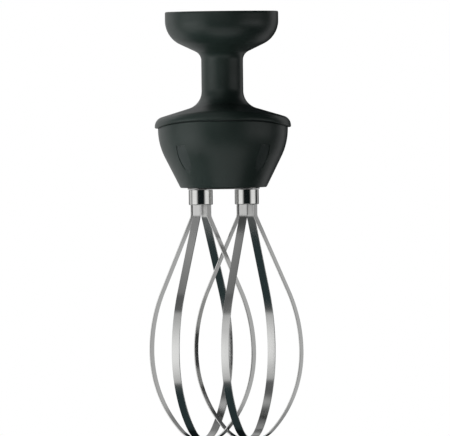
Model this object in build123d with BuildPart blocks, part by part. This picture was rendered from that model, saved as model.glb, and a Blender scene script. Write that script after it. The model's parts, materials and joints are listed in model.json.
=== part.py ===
from build123d import *
from math import atan2, cos, degrees, hypot, pi, radians, sin, sqrt, tan
import os

os.makedirs("parts", exist_ok=True)

# Twin whisk head for a stick blender, in millimetres.
# The origin is the centre of the motor socket's mouth, +Z points up to the motor,
# and the whisks hang down side by side along X. Heights are z values below the mouth.

# Fits
running_clearance = 0.05
seat_clearance = 0.05
end_float = 0.4

# Motor cup and neck
cup_radius = 56.7
cup_corner_z = -25.4
cup_corner_round = 26.0
cup_edge_round = 1.2
socket_radius = 51.5
socket_depth = 16.0
socket_seat_width = 5.5
cup_wall = 4.0
cup_rib_count = 6
cup_rib_thickness = 2.5
cup_rib_top_z = -30.0
bayonet_count = 3
bayonet_depth = 2.0
bayonet_entry_width = 10.0
bayonet_track_width = 16.0
bayonet_track_top_z = -8.5
bayonet_track_height = 4.5
bayonet_cutter_depth = 8.0
neck_radius = 20.9
neck_corner_z = -42.5
neck_top_round = 10.0
neck_foot_round = 18.0
neck_bore_radius = 10.5

# Lid of the gear casing, one moulding with the cup and neck
lid_radius = 68.15
lid_apex_z = -86.4
lid_slope_side = 0.304
lid_slope_front = 0.20
lid_edge_round = 9.0
lid_wall = 4.8
lid_tip_drop = 1.0
lid_cavity_radius = 58.0
seam_z = -108.5
seam_flat = 40.0
seam_sweep_radius = 185.0
gasket_thickness = 1.0
gasket_inset = 0.8
gasket_width = 5.7

# Gear casing
casing_radius = 65.0
casing_corner_z = -132.0
casing_corner_round = 64.0
casing_floor_z = -176.0
casing_taper = 0.5
casing_foot_round = 2.0
casing_wall = 4.0
casing_floor_thickness = 6.0

# Casing screws, driven up through deep pockets in the bowl that rubber plugs close
screw_x = 39.3
screw_y = 42.7
screw_radius = 2.0
screw_head_radius = 3.0
screw_head_height = 2.2
screw_drive_radius = 1.4
screw_drive_depth = 1.3
screw_seat_z = -133.5
screw_tip_z = -103.6
screw_boss_radius = 5.5
pocket_radius = 7.2
pocket_wall = 3.0
plug_clearance = 0.15
plug_inset = 0.5

# Drive line
shaft_radius = 5.0
shaft_middle_radius = 6.0
shaft_end_radius = 4.0
shaft_top_z = -23.0
shaft_flat_depth = 0.8
bearing_radius = 13.0
bearing_width = 8.0
bearing_boss_wall = 4.0
upper_bearing_z = -39.0
lower_bearing_z = -92.0
clip_thickness = 1.2
clip_groove_depth = 1.0
clip_overhang = 1.5
clip_gap = 5.0
coupling_top_z = -17.4
coupling_radius = 12.0
coupling_height = 10.6
coupling_socket_radius = 8.5
coupling_socket_depth = 5.0
coupling_lobes = 6
coupling_pin_radius = 1.5

# Gear train: pinion to cluster wheel, cluster pinion to the left of two equal wheels
tooth_addendum = 0.85
tooth_dedendum = 1.25
tooth_root_half = 0.90
tooth_tip_half = 0.30
tooth_backlash = 0.28
pinion_teeth = 12
cluster_teeth = 36
input_module = 1.25
input_face_z = -110.5
input_face_width = 8.0
pinion_hub_radius = 7.0
pinion_hub_length = 7.5
output_teeth = 32
output_face_z = -121.5
output_face_width = 10.0
output_hub_radius = 10.0
wheel_web_depth = 2.5
wheel_rim = 3.5
idler_pin_radius = 4.0
idler_boss_radius = 7.0
idler_pin_seat = 8.0

# Whisk spindles
whisk_spacing = 46.0
spindle_radius = 6.0
journal_radius = 5.0
upper_bush_z = -100.5
upper_bush_length = 8.5
upper_bush_wall = 2.0
upper_boss_radius = 9.5
lower_bush_wall = 2.5
lower_bush_length = 16.0
bush_flange_height = 2.0
bush_flange_lip = 1.5
lower_boss_wall = 3.0
seal_height = 5.0
seal_radius = 10.0
seal_lip_height = 1.2
spacer_wall = 2.5
key_width = 3.0
key_height = 2.6
key_length = 9.0

# Plate under the casing
plate_length = 72.0
plate_width = 28.0
plate_thickness = 1.6
plate_screw_y = 9.5
plate_screw_radius = 1.5
plate_screw_head_radius = 2.8
plate_screw_length = 6.0
plate_screw_slot = 0.8

# Ferrules and whisk strips
ferrule_radius = 12.0
ferrule_height = 15.0
ferrule_wall = 1.3
ferrule_top = 1.5
ferrule_edge = 0.6
strip_width = 8.5
strip_thickness = 1.2
strip_root_radius = 9.0
strip_top_inset = 2.5
strip_kink_z = -204.5
strip_kink_angle = 25.0
strip_kink_round = 8.0
strip_upper_round = 142.0
strip_join_angle = 45.0
whisk_radius = 57.5
whisk_bottom_z = -430.0
loop_gap = 0.4
left_whisk_angle = -27.5
right_whisk_angle = -24.0

# Places worked out from the sizes above
half_spacing = whisk_spacing / 2
sides = {"left": -half_spacing, "right": half_spacing}
whisk_angles = {"left": left_whisk_angle, "right": right_whisk_angle}
output_module = whisk_spacing / output_teeth
input_distance = input_module * (pinion_teeth + cluster_teeth) / 2
output_distance = output_module * (pinion_teeth + output_teeth) / 2
idler_x = (output_distance**2 - input_distance**2 - half_spacing**2) / whisk_spacing
idler_y = sqrt(input_distance**2 - idler_x**2)
screw_corners = {
    "front_left": (-screw_x, -screw_y),
    "front_right": (screw_x, -screw_y),
    "back_left": (-screw_x, screw_y),
    "back_right": (screw_x, screw_y),
}
screw_places = list(screw_corners.values())
gasket_outer_radius = casing_radius - gasket_inset
gasket_inner_radius = gasket_outer_radius - gasket_width
bearing_boss_radius = bearing_radius + bearing_boss_wall
coupling_bottom_z = coupling_top_z - coupling_height
cup_boss_top_z = coupling_bottom_z - end_float
lid_bearing_boss_z = lower_bearing_z - bearing_width - 2 * clip_thickness
input_bottom_z = input_face_z - input_face_width
output_bottom_z = output_face_z - output_face_width
idler_pillar_z = output_bottom_z - 2 * end_float
shaft_end_z = input_bottom_z - 2 * clip_thickness
upper_boss_z = upper_bush_z - upper_bush_length
seal_top_z = casing_floor_z + seal_height
lower_bush_top_z = seal_top_z + lower_bush_length
flange_top_z = lower_bush_top_z + bush_flange_height
upper_bush_radius = journal_radius + upper_bush_wall
lower_bush_radius = spindle_radius + lower_bush_wall
lower_boss_radius = seal_radius + lower_boss_wall
plate_bottom_z = casing_floor_z - plate_thickness
ferrule_top_z = plate_bottom_z - end_float
ferrule_bottom_z = ferrule_top_z - ferrule_height
ferrule_bore_radius = ferrule_radius - ferrule_wall
plug_top_z = ferrule_top_z - ferrule_top
plug_half_width = strip_root_radius - strip_thickness / 2 - seat_clearance
strip_top_z = plug_top_z - strip_top_inset


def save(part, name):
    part.label = name
    export_step(part, f"parts/{name}.step")


def upright_half_plane(x=0.0, y=0.0):
    return Plane(origin=(x, y, 0), x_dir=(1, 0, 0), z_dir=(0, -1, 0))


def vertical_axis(x=0.0, y=0.0):
    return Axis((x, y, 0), (0, 0, 1))


# Everything below the arched parting face, lowered by a given drop
def below_seam(drop):
    top_z = seam_z - drop
    half_flat = seam_flat / 2
    reach = lid_radius + seam_flat / 4
    sweep = degrees(atan2(reach - half_flat, seam_sweep_radius))
    with BuildPart() as block:
        with BuildSketch(Plane.XZ):
            with BuildLine():
                flat = Line((-half_flat, top_z), (half_flat, top_z))
                right = JernArc(flat @ 1, (1, 0), seam_sweep_radius, -sweep)
                left = JernArc(flat @ 0, (-1, 0), seam_sweep_radius, sweep)
                Polyline(
                    right @ 1,
                    ((right @ 1).X, casing_floor_z - drop),
                    ((left @ 1).X, casing_floor_z - drop),
                    left @ 1,
                )
            make_face()
        extrude(amount=lid_radius + seam_flat, both=True)
    return block.part


# Flat-sided cone of the lid: its slope is gentler from front to back than along X
def lid_cone(apex_z, radius):
    base_z = seam_z - lid_radius * lid_slope_side
    with BuildPart() as cone:
        for z in (apex_z - lid_tip_drop, base_z):
            with BuildSketch(Plane.XY.offset(z)):
                Ellipse((apex_z - z) / lid_slope_side, (apex_z - z) / lid_slope_front)
        loft(ruled=True)
        with BuildSketch(Plane.XY.offset(base_z)):
            Circle(radius)
        extrude(amount=apex_z - base_z, mode=Mode.INTERSECT)
    return cone.part


def post(x, y, radius, bottom_z, top_z):
    with BuildPart() as boss:
        with BuildSketch(Plane((x, y, bottom_z))):
            Circle(radius)
        extrude(amount=top_z - bottom_z)
    return boss.part


# Hollow of the lid, with bosses left standing for the bearing, bushes, idler pin and screws
def lid_hollow():
    with BuildPart() as hollow:
        add(lid_cone(lid_apex_z - lid_wall, lid_cavity_radius))
        add(post(0, 0, bearing_boss_radius, lid_bearing_boss_z, 0), mode=Mode.SUBTRACT)
        for x in sides.values():
            add(post(x, 0, upper_boss_radius, upper_boss_z, 0), mode=Mode.SUBTRACT)
        idler_boss_z = input_face_z + end_float
        add(post(idler_x, idler_y, idler_boss_radius, idler_boss_z, 0), mode=Mode.SUBTRACT)
        for x, y in screw_places:
            add(post(x, y, screw_boss_radius, casing_floor_z, 0), mode=Mode.SUBTRACT)
    return hollow.part


# Hollow of the motor cup and the stepped bore of the neck
def cup_hollow():
    funnel_slope = (cup_corner_z - neck_corner_z) / (cup_radius - neck_radius)
    funnel_rise = cup_wall * hypot(1, funnel_slope)
    seat_radius = socket_radius - socket_seat_width
    clip_radius = bearing_radius + clip_groove_depth

    def funnel_z(radius):
        return cup_corner_z + funnel_rise - (cup_radius - radius) * funnel_slope

    upper_clip_z = upper_bearing_z + bearing_width
    lower_clip_z = lower_bearing_z - bearing_width
    with BuildPart() as hollow:
        with BuildSketch(Plane.XZ):
            with BuildLine():
                Polyline(
                    (0, cup_wall),
                    (socket_radius, cup_wall),
                    (socket_radius, -socket_depth),
                    (seat_radius, -socket_depth),
                    (seat_radius, funnel_z(seat_radius)),
                    (bearing_boss_radius, funnel_z(bearing_boss_radius)),
                    (bearing_boss_radius, cup_boss_top_z),
                    (bearing_radius, cup_boss_top_z),
                    (bearing_radius, upper_clip_z + clip_thickness),
                    (clip_radius, upper_clip_z + clip_thickness),
                    (clip_radius, upper_clip_z),
                    (bearing_radius, upper_clip_z),
                    (bearing_radius, upper_bearing_z),
                    (neck_bore_radius, upper_bearing_z),
                    (neck_bore_radius, lower_bearing_z),
                    (bearing_radius, lower_bearing_z),
                    (bearing_radius, lower_clip_z),
                    (clip_radius, lower_clip_z),
                    (clip_radius, lower_clip_z - clip_thickness),
                    (bearing_radius, lower_clip_z - clip_thickness),
                    (bearing_radius, input_face_z),
                    (0, input_face_z),
                    close=True,
                )
            make_face()
        revolve(axis=Axis.Z)
        with BuildSketch(Plane.XY.offset(cup_rib_top_z)):
            with PolarLocations(0, cup_rib_count):
                Rectangle(seat_radius, cup_rib_thickness, align=(Align.MIN, Align.CENTER))
            Circle(bearing_radius + bearing_boss_wall / 2, mode=Mode.SUBTRACT)
        extrude(amount=neck_corner_z - cup_rib_top_z, mode=Mode.SUBTRACT)
    return hollow.part


# Cup, neck and lid in one moulding
under_lid = below_seam(0)
lid_solid = lid_cone(lid_apex_z, lid_radius)
lid_space = lid_hollow()
cup_space = cup_hollow()
with BuildPart() as upper_housing:
    add(lid_solid)
    rim = edges().filter_by(GeomType.LINE, reverse=True).sort_by(Axis.Z)[1:-1]
    fillet(rim, lid_edge_round)
    add(under_lid, mode=Mode.SUBTRACT)
    with BuildSketch(Plane.XZ):
        with BuildLine():
            side = FilletPolyline(
                (cup_radius, 0),
                (cup_radius, cup_corner_z),
                (neck_radius, neck_corner_z),
                (neck_radius, seam_z + lid_edge_round),
                radius=[cup_corner_round, neck_top_round],
            )
            Polyline(side @ 1, (0, seam_z + lid_edge_round), (0, 0), side @ 0)
        make_face()
    revolve(axis=Axis.Z)
    lid_low_z = lid_apex_z - lid_radius * lid_slope_side
    neck_low_z = neck_corner_z - neck_top_round
    foot = edges().filter_by(
        lambda edge: lid_low_z < edge.center().Z < neck_low_z
        and abs(hypot((edge @ 0).X, (edge @ 0).Y) - neck_radius) < seat_clearance
        and edge.geom_type not in (GeomType.LINE, GeomType.CIRCLE)
    )
    fillet(foot, neck_foot_round)
    mouth = edges().filter_by(GeomType.CIRCLE).sort_by(Axis.Z)[-1]
    fillet(mouth, cup_edge_round)
    add(cup_space, mode=Mode.SUBTRACT)
    add(lid_space, mode=Mode.SUBTRACT)
    # Bayonet slots: an entry from the mouth and a short track to turn into
    with BuildSketch(Plane.XY.offset(bayonet_track_top_z - bayonet_track_height)):
        with PolarLocations(socket_radius, bayonet_count):
            Rectangle(bayonet_cutter_depth, bayonet_entry_width)
        Circle(socket_radius + bayonet_depth, mode=Mode.INTERSECT)
    extrude(amount=bayonet_track_height - bayonet_track_top_z, mode=Mode.SUBTRACT)
    track_turn = degrees((bayonet_entry_width + bayonet_track_width) / 2 / socket_radius)
    with BuildSketch(Plane.XY.offset(bayonet_track_top_z - bayonet_track_height)):
        with PolarLocations(socket_radius, bayonet_count, start_angle=track_turn):
            Rectangle(bayonet_cutter_depth, bayonet_track_width)
        Circle(socket_radius + bayonet_depth, mode=Mode.INTERSECT)
    extrude(amount=bayonet_track_height, mode=Mode.SUBTRACT)
    # Blind bores for the bushes, the idler pin and the casing screws
    with BuildSketch(Plane.XY.offset(upper_boss_z)):
        with Locations(*[(x, 0) for x in sides.values()]):
            Circle(upper_bush_radius + seat_clearance)
    extrude(amount=upper_bush_length, mode=Mode.SUBTRACT)
    with BuildSketch(Plane((idler_x, idler_y, input_face_z))):
        Circle(idler_pin_radius + seat_clearance)
    extrude(amount=end_float + idler_pin_seat, mode=Mode.SUBTRACT)
    with BuildSketch(Plane.XY.offset(screw_seat_z)):
        with Locations(*screw_places):
            Circle(screw_radius + seat_clearance)
    extrude(amount=screw_tip_z - screw_seat_z + end_float, mode=Mode.SUBTRACT)
save(upper_housing.part, "upper_housing")


# Gasket in the parting line, with an eyelet round each screw
under_gasket = below_seam(gasket_thickness)
with BuildPart() as lid_gasket:
    with BuildSketch(Plane.XY.offset(casing_corner_z)):
        Circle(gasket_outer_radius)
        Circle(gasket_inner_radius, mode=Mode.SUBTRACT)
        with Locations(*screw_places):
            Circle(screw_boss_radius)
        Circle(gasket_outer_radius, mode=Mode.INTERSECT)
        with Locations(*screw_places):
            Circle(screw_radius + 2 * seat_clearance, mode=Mode.SUBTRACT)
    extrude(amount=seam_z - casing_corner_z + gasket_thickness)
    add(under_lid, mode=Mode.INTERSECT)
    add(under_gasket, mode=Mode.SUBTRACT)
save(lid_gasket.part, "lid_gasket")


# Bowl of the casing, with its side moved inwards by a given inset
def bowl(inset, floor_z):
    top_z = seam_z + gasket_thickness
    across = inset * hypot(1, casing_taper)
    corner_rise = (across - inset) / casing_taper
    floor_radius = casing_radius - across - casing_taper * (casing_corner_z - floor_z)
    with BuildPart() as solid:
        with BuildSketch(Plane.XZ):
            with BuildLine():
                side = FilletPolyline(
                    (casing_radius - inset, top_z),
                    (casing_radius - inset, casing_corner_z + corner_rise),
                    (floor_radius, floor_z),
                    radius=[casing_corner_round - inset],
                )
                Polyline(side @ 1, (0, floor_z), (0, top_z), side @ 0)
            make_face()
        revolve(axis=Axis.Z)
    return solid.part


# Hollow of the bowl, with screw pillars, spindle bosses and idler pillar left standing
def casing_hollow():
    pocket_post = pocket_radius + pocket_wall
    with BuildPart() as hollow:
        add(bowl(casing_wall, casing_floor_z + casing_floor_thickness))
        for x, y in screw_places:
            add(post(x, y, screw_boss_radius, casing_floor_z, 0), mode=Mode.SUBTRACT)
            add(
                post(x, y, pocket_post, casing_floor_z, screw_seat_z + pocket_wall),
                mode=Mode.SUBTRACT,
            )
        for x in sides.values():
            add(
                post(x, 0, lower_boss_radius, casing_floor_z, lower_bush_top_z),
                mode=Mode.SUBTRACT,
            )
        add(
            post(idler_x, idler_y, idler_boss_radius, casing_floor_z, idler_pillar_z),
            mode=Mode.SUBTRACT,
        )
    return hollow.part


# Bowl of the gear casing
casing_space = casing_hollow()
with BuildPart() as gear_casing:
    add(bowl(0, casing_floor_z))
    fillet(edges().filter_by(GeomType.CIRCLE).sort_by(Axis.Z)[0], casing_foot_round)
    add(under_gasket, mode=Mode.INTERSECT)
    add(casing_space, mode=Mode.SUBTRACT)
    with BuildSketch(Plane.XY.offset(casing_floor_z)):
        with Locations(*screw_places):
            Circle(pocket_radius)
    extrude(amount=screw_seat_z - casing_floor_z, mode=Mode.SUBTRACT)
    with BuildSketch(Plane.XY.offset(screw_seat_z)):
        with Locations(*screw_places):
            Circle(screw_radius + 2 * seat_clearance)
    extrude(amount=seam_z - screw_seat_z, mode=Mode.SUBTRACT)
    for x in sides.values():
        with BuildSketch(Plane((x, 0, casing_floor_z))):
            Circle(seal_radius + seat_clearance)
        extrude(amount=seal_height, mode=Mode.SUBTRACT)
        with BuildSketch(Plane((x, 0, casing_floor_z))):
            Circle(lower_bush_radius + seat_clearance)
        extrude(amount=lower_bush_top_z - casing_floor_z, mode=Mode.SUBTRACT)
    with BuildSketch(Plane((idler_x, idler_y, idler_pillar_z - idler_pin_seat))):
        Circle(idler_pin_radius + seat_clearance)
    extrude(amount=idler_pin_seat, mode=Mode.SUBTRACT)
    with BuildSketch(Plane.XY.offset(casing_floor_z)):
        with Locations((0, plate_screw_y), (0, -plate_screw_y)):
            Circle(plate_screw_radius + seat_clearance)
    extrude(amount=plate_screw_length - plate_thickness + end_float, mode=Mode.SUBTRACT)
save(gear_casing.part, "gear_casing")


# Screws that hold the casing to the lid, and the plugs that close their pockets
plug_face = bowl(plug_inset, casing_floor_z)
for corner, (x, y) in screw_corners.items():
    with BuildPart() as casing_screw:
        with BuildSketch(Plane((x, y, screw_seat_z))):
            Circle(screw_radius)
        extrude(amount=screw_tip_z - screw_seat_z)
        with BuildSketch(Plane((x, y, screw_seat_z))):
            Circle(screw_head_radius)
        extrude(amount=-screw_head_height)
        with BuildSketch(Plane((x, y, screw_seat_z - screw_head_height))):
            RegularPolygon(screw_drive_radius, 6)
        extrude(amount=screw_drive_depth, mode=Mode.SUBTRACT)
    save(casing_screw.part, f"{corner}_casing_screw")

    with BuildPart() as screw_plug:
        with BuildSketch(Plane((x, y, casing_floor_z))):
            Circle(pocket_radius - plug_clearance)
        extrude(amount=screw_seat_z - casing_floor_z - plug_clearance)
        add(plug_face, mode=Mode.INTERSECT)
        with BuildSketch(Plane((x, y, screw_seat_z))):
            Circle(screw_head_radius + plug_clearance)
        extrude(amount=-screw_head_height - plug_clearance, mode=Mode.SUBTRACT)
    save(screw_plug.part, f"{corner}_screw_plug")


# Steel plate that covers the seals under the casing
with BuildPart() as bottom_plate:
    with BuildSketch(Plane.XY.offset(plate_bottom_z)):
        SlotOverall(plate_length, plate_width)
        with Locations(*[(x, 0) for x in sides.values()]):
            Circle(spindle_radius + end_float, mode=Mode.SUBTRACT)
    extrude(amount=plate_thickness)
    screw_starts = [(0, y, plate_bottom_z) for y in (-plate_screw_y, plate_screw_y)]
    with Locations(*[Plane(start, z_dir=(0, 0, -1)) for start in screw_starts]):
        CounterSinkHole(
            plate_screw_radius + seat_clearance,
            plate_screw_head_radius + seat_clearance,
            counter_sink_angle=90,
        )
save(bottom_plate.part, "bottom_plate")


# Countersunk screws of the bottom plate
for end, y in (("front", -plate_screw_y), ("back", plate_screw_y)):
    head_depth = plate_screw_head_radius - plate_screw_radius
    with BuildPart() as plate_screw:
        with BuildSketch(upright_half_plane(0, y)):
            with BuildLine():
                Polyline(
                    (0, plate_bottom_z),
                    (plate_screw_head_radius, plate_bottom_z),
                    (plate_screw_radius, plate_bottom_z + head_depth),
                    (plate_screw_radius, plate_bottom_z + plate_screw_length),
                    (0, plate_bottom_z + plate_screw_length),
                    close=True,
                )
            make_face()
        revolve(axis=vertical_axis(0, y))
        with BuildSketch(Plane((0, y, plate_bottom_z))):
            Rectangle(2 * plate_screw_radius, plate_screw_slot)
            Rectangle(plate_screw_slot, 2 * plate_screw_radius)
        extrude(amount=head_depth / 2, mode=Mode.SUBTRACT)
    save(plate_screw.part, f"{end}_plate_screw")


# Ball bearings of the drive shaft, with their shields set back from the ring faces
for name, seat_z, reach in (
    ("upper_shaft_bearing", upper_bearing_z, bearing_width),
    ("lower_shaft_bearing", lower_bearing_z, -bearing_width),
):
    shield_set_back = reach / 10
    ring_wall = (bearing_radius - shaft_radius) / 4
    inner = shaft_radius + running_clearance
    outer = bearing_radius - seat_clearance
    with BuildPart() as bearing:
        with BuildSketch(Plane.XZ):
            with BuildLine():
                Polyline(
                    (inner, seat_z),
                    (inner + ring_wall, seat_z),
                    (inner + ring_wall, seat_z + shield_set_back),
                    (outer - ring_wall, seat_z + shield_set_back),
                    (outer - ring_wall, seat_z),
                    (outer, seat_z),
                    (outer, seat_z + reach),
                    (outer - ring_wall, seat_z + reach),
                    (outer - ring_wall, seat_z + reach - shield_set_back),
                    (inner + ring_wall, seat_z + reach - shield_set_back),
                    (inner + ring_wall, seat_z + reach),
                    (inner, seat_z + reach),
                    close=True,
                )
            make_face()
        revolve(axis=Axis.Z)
    save(bearing.part, name)


# Snap rings in the housing that keep the bearings on their shoulders
for name, bottom_z in (
    ("upper_bearing_clip", upper_bearing_z + bearing_width),
    ("lower_bearing_clip", lower_bearing_z - bearing_width - clip_thickness),
):
    with BuildPart() as clip:
        with BuildSketch(Plane.XY.offset(bottom_z)):
            Circle(bearing_radius + clip_groove_depth - seat_clearance)
            Circle(bearing_radius - 2 * clip_groove_depth, mode=Mode.SUBTRACT)
            with Locations((bearing_radius, 0)):
                Rectangle(bearing_radius, clip_gap, mode=Mode.SUBTRACT)
        extrude(amount=clip_thickness)
    save(clip.part, name)


# Drive shaft: thicker between the bearings, stepped down with a flat for the pinion
with BuildPart() as drive_shaft:
    pinion_step_z = lid_bearing_boss_z
    groove_radius = shaft_end_radius - clip_groove_depth
    with BuildSketch(Plane.XZ):
        with BuildLine():
            Polyline(
                (0, shaft_top_z),
                (shaft_radius, shaft_top_z),
                (shaft_radius, upper_bearing_z - end_float / 2),
                (shaft_middle_radius, upper_bearing_z - end_float / 2),
                (shaft_middle_radius, lower_bearing_z + end_float / 2),
                (shaft_radius, lower_bearing_z + end_float / 2),
                (shaft_radius, pinion_step_z),
                (shaft_end_radius, pinion_step_z),
                (shaft_end_radius, input_bottom_z),
                (groove_radius, input_bottom_z),
                (groove_radius, input_bottom_z - clip_thickness),
                (shaft_end_radius, input_bottom_z - clip_thickness),
                (shaft_end_radius, shaft_end_z),
                (0, shaft_end_z),
                close=True,
            )
        make_face()
    revolve(axis=Axis.Z)
    with BuildSketch(Plane.XY.offset(shaft_end_z)):
        with Locations((shaft_end_radius - shaft_flat_depth, 0)):
            Rectangle(shaft_radius, 2 * shaft_radius, align=(Align.MIN, Align.CENTER))
    extrude(amount=pinion_step_z - shaft_end_z, mode=Mode.SUBTRACT)
    pin_z = (shaft_top_z + coupling_bottom_z) / 2
    with BuildSketch(Plane.YZ.offset(-coupling_radius)):
        with Locations((0, pin_z)):
            Circle(coupling_pin_radius + seat_clearance)
    extrude(amount=2 * coupling_radius, mode=Mode.SUBTRACT)
save(drive_shaft.part, "drive_shaft")


# Drive coupling: a lobed socket that takes the motor's drive tip, cross pinned to the shaft
with BuildPart() as drive_coupling:
    with BuildSketch(Plane.XY.offset(coupling_bottom_z)):
        Circle(coupling_radius)
    extrude(amount=coupling_height)
    with BuildSketch(Plane.XY.offset(coupling_top_z)):
        Circle(coupling_socket_radius - coupling_pin_radius)
        with PolarLocations(coupling_socket_radius - coupling_pin_radius, coupling_lobes):
            Circle(coupling_pin_radius)
    extrude(amount=-coupling_socket_depth, mode=Mode.SUBTRACT)
    with BuildSketch(Plane.XY.offset(coupling_bottom_z)):
        Circle(shaft_radius + seat_clearance)
    extrude(amount=coupling_height, mode=Mode.SUBTRACT)
    with BuildSketch(Plane.YZ.offset(-coupling_radius)):
        with Locations((0, pin_z)):
            Circle(coupling_pin_radius + seat_clearance)
    extrude(amount=2 * coupling_radius, mode=Mode.SUBTRACT)
    chamfer(edges().filter_by(GeomType.CIRCLE).sort_by(SortBy.RADIUS)[-2:], ferrule_edge)
save(drive_coupling.part, "drive_coupling")

with BuildPart() as coupling_pin:
    with BuildSketch(Plane.YZ.offset(-coupling_radius + ferrule_edge)):
        with Locations((0, pin_z)):
            Circle(coupling_pin_radius)
    extrude(amount=2 * (coupling_radius - ferrule_edge))
save(coupling_pin.part, "coupling_pin")


# Corners of a gear's outline, with the first tooth's middle turned to the given angle
def gear_outline(teeth, module, turn):
    pitch_radius = module * teeth / 2
    flank = [
        (pitch_radius - tooth_dedendum * module, tooth_root_half * module),
        (pitch_radius, pi / 4 * module - tooth_backlash / 2),
        (pitch_radius + tooth_addendum * module, tooth_tip_half * module),
    ]
    corners = []
    for tooth in range(teeth):
        middle = radians(turn + 360 * tooth / teeth)
        rising = [(radius, middle - half / radius) for radius, half in flank]
        falling = [(radius, middle + half / radius) for radius, half in reversed(flank)]
        corners += [(radius * cos(angle), radius * sin(angle)) for radius, angle in rising + falling]
    return corners


# Turn of a gear that puts its teeth in the gaps of the gear that it meets
def meshed_turn(turn, teeth, meets_teeth, direction):
    share = (direction - turn) * teeth / 360
    return direction + 180 - 360 / meets_teeth * (0.5 - share)


def wheel_recess(teeth, module):
    return module * teeth / 2 - tooth_dedendum * module - wheel_rim


left_gear_turn = 0.0
left_to_idler = degrees(atan2(idler_y, idler_x + half_spacing))
idler_to_input = degrees(atan2(-idler_y, -idler_x))
right_gear_turn = meshed_turn(left_gear_turn, output_teeth, output_teeth, 0)
cluster_turn = meshed_turn(left_gear_turn, output_teeth, pinion_teeth, left_to_idler)
pinion_turn = meshed_turn(cluster_turn, cluster_teeth, pinion_teeth, idler_to_input)
gear_turns = {"left": left_gear_turn, "right": right_gear_turn}


# Pinion on the end of the drive shaft
with BuildPart() as input_pinion:
    with BuildSketch(Plane.XY.offset(input_bottom_z)):
        with BuildLine():
            Polyline(*gear_outline(pinion_teeth, input_module, pinion_turn), close=True)
        make_face()
    extrude(amount=input_face_width)
    with BuildSketch(Plane.XY.offset(input_face_z)):
        Circle(pinion_hub_radius)
    extrude(amount=pinion_hub_length)
    with BuildSketch(Plane.XY.offset(input_bottom_z)):
        Circle(shaft_end_radius + seat_clearance)
        with Locations((shaft_end_radius - shaft_flat_depth + seat_clearance, 0)):
            Rectangle(
                shaft_radius,
                2 * shaft_radius,
                align=(Align.MIN, Align.CENTER),
                mode=Mode.SUBTRACT,
            )
    extrude(amount=input_face_width + pinion_hub_length, mode=Mode.SUBTRACT)
save(input_pinion.part, "input_pinion")

with BuildPart() as pinion_clip:
    with BuildSketch(Plane.XY.offset(input_bottom_z - clip_thickness + seat_clearance)):
        Circle(shaft_end_radius + clip_overhang)
        Circle(shaft_end_radius - clip_groove_depth + seat_clearance, mode=Mode.SUBTRACT)
        with Locations((shaft_end_radius, 0)):
            Rectangle(2 * shaft_end_radius, clip_gap, mode=Mode.SUBTRACT)
    extrude(amount=clip_thickness - 2 * seat_clearance)
save(pinion_clip.part, "pinion_clip")


# Cluster gear: a large wheel and a small pinion in one piece, free on the idler pin
with BuildPart() as cluster_gear:
    with BuildSketch(Plane((idler_x, idler_y, input_bottom_z))):
        with BuildLine():
            Polyline(*gear_outline(cluster_teeth, input_module, cluster_turn), close=True)
        make_face()
    extrude(amount=input_face_width)
    recess_radius = wheel_recess(cluster_teeth, input_module)
    with BuildSketch(Plane((idler_x, idler_y, input_face_z))):
        Circle(recess_radius)
        Circle(output_hub_radius, mode=Mode.SUBTRACT)
    extrude(amount=-wheel_web_depth, mode=Mode.SUBTRACT)
    with BuildSketch(Plane((idler_x, idler_y, output_bottom_z - end_float))):
        with BuildLine():
            Polyline(*gear_outline(pinion_teeth, output_module, cluster_turn), close=True)
        make_face()
    extrude(amount=input_bottom_z - output_bottom_z + end_float)
    with BuildSketch(Plane((idler_x, idler_y, output_bottom_z - end_float))):
        Circle(idler_pin_radius + running_clearance)
    extrude(amount=input_face_z - output_bottom_z + end_float, mode=Mode.SUBTRACT)
save(cluster_gear.part, "cluster_gear")

with BuildPart() as idler_pin:
    pin_bottom_z = idler_pillar_z - idler_pin_seat + end_float
    with BuildSketch(Plane((idler_x, idler_y, pin_bottom_z))):
        Circle(idler_pin_radius)
    extrude(amount=input_face_z + idler_pin_seat - pin_bottom_z)
    chamfer(edges().filter_by(GeomType.CIRCLE), ferrule_edge)
save(idler_pin.part, "idler_pin")


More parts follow.
